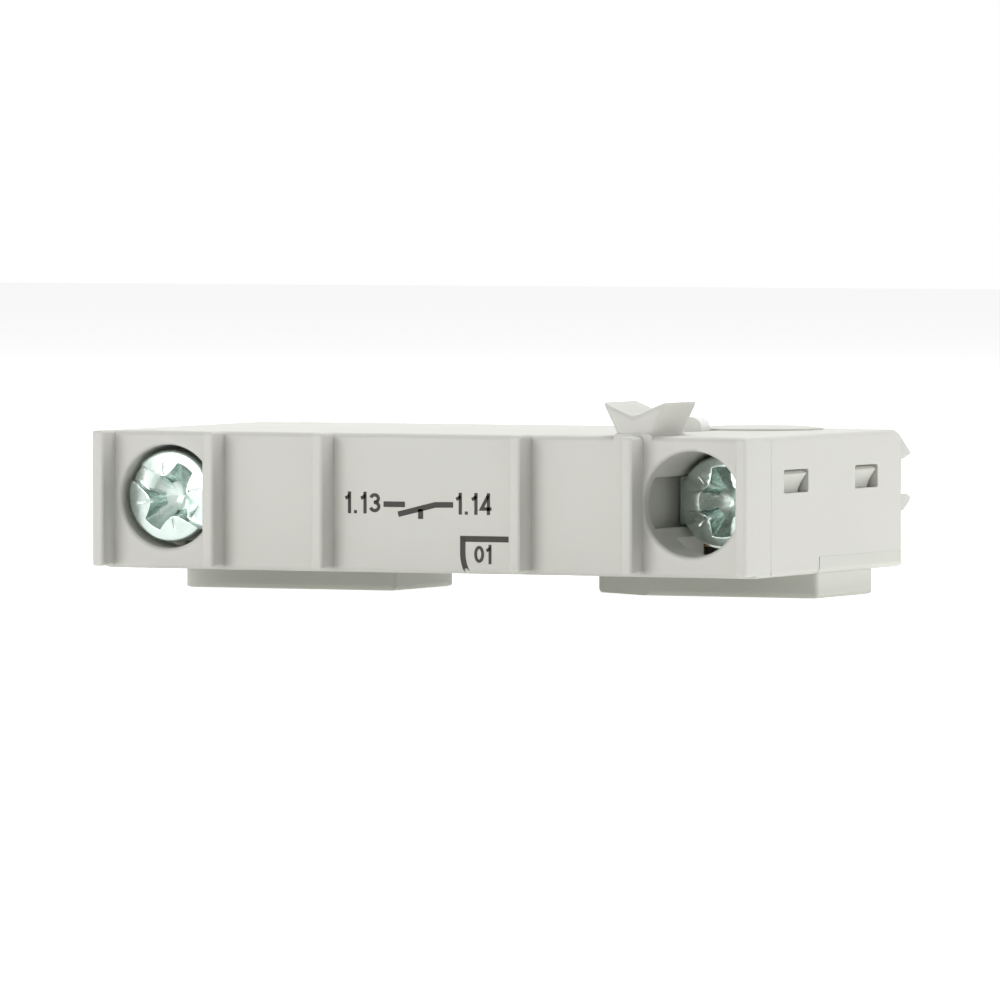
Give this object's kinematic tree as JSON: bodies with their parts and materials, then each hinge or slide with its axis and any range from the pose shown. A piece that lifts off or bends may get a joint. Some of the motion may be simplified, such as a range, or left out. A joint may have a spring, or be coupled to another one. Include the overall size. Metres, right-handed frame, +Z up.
{
  "type": "auxiliary contact block",
  "caption": "Low front-fitting contact block with a ribbed face, terminal screws, a forked horn, a sprung actuator slide, rear catches and flat pads.",
  "frame": {"origin": "under the middle of the block, in the plane of the two pads' undersides", "axes": "+X along the block towards the horn's end, +Y from the ribbed front to the rear catches, +Z up"},
  "size_m": [0.045, 0.0258, 0.0123],
  "materials": {
    "housing_plastic": "fine satin moulding, light grey",
    "cover_plastic": "fine satin moulding, light grey",
    "slide_plastic": "smooth moulding, light grey",
    "brass": "rolled strip",
    "contact_silver": "silver alloy",
    "spring_steel": "drawn wire",
    "zinc_plated_steel": "bright zinc with a blue-green tint"
  },
  "bodies": {
    "block": {"main_housing": "housing_plastic", "bottom_cover": "cover_plastic", "terminal_strip_left": "brass", "terminal_strip_right": "brass", "fixed_tip_left": "contact_silver", "fixed_tip_right": "contact_silver", "clamp_nut_left": "zinc_plated_steel", "clamp_nut_right": "zinc_plated_steel", "return_spring": "spring_steel"},
    "actuator": {"actuator_slide": "slide_plastic", "contact_bridge": "brass", "bridge_tip_left": "contact_silver", "bridge_tip_right": "contact_silver", "contact_spring": "spring_steel"},
    "left_clamp": {"clamp_plate_left": "zinc_plated_steel"},
    "left_screw": {"terminal_screw_left": "zinc_plated_steel"},
    "right_clamp": {"clamp_plate_right": "zinc_plated_steel"},
    "right_screw": {"terminal_screw_right": "zinc_plated_steel"}
  },
  "joints": [
    {"name": "actuator_travel", "type": "slide", "parent": "block", "child": "actuator", "axis": [0, -1, 0], "range_m": [0, 0.00175], "stiffness_N_per_m": 300, "springref_m": -0.002, "deforming": ["return_spring"]},
    {"name": "left_clamp_travel", "type": "slide", "parent": "block", "child": "left_clamp", "axis": [0, 1, 0], "range_m": [0, 0.0043]},
    {"name": "left_screw_turn", "type": "hinge", "parent": "left_clamp", "child": "left_screw", "pos_m": [-0.01805, -0.00905, 0.00615], "axis": [0, 1, 0], "range_deg": [0, 2582]},
    {"name": "right_clamp_travel", "type": "slide", "parent": "block", "child": "right_clamp", "axis": [0, 1, 0], "range_m": [-0.0043, 0]},
    {"name": "right_screw_turn", "type": "hinge", "parent": "right_clamp", "child": "right_screw", "pos_m": [0.01805, -0.00475, 0.00615], "axis": [0, 1, 0], "range_deg": [-2582, 0]}
  ],
  "couplings": [
    {"joint": "left_screw_turn", "follows": "left_clamp_travel", "rad_per_m": 10472},
    {"joint": "right_screw_turn", "follows": "right_clamp_travel", "rad_per_m": 10472}
  ]
}
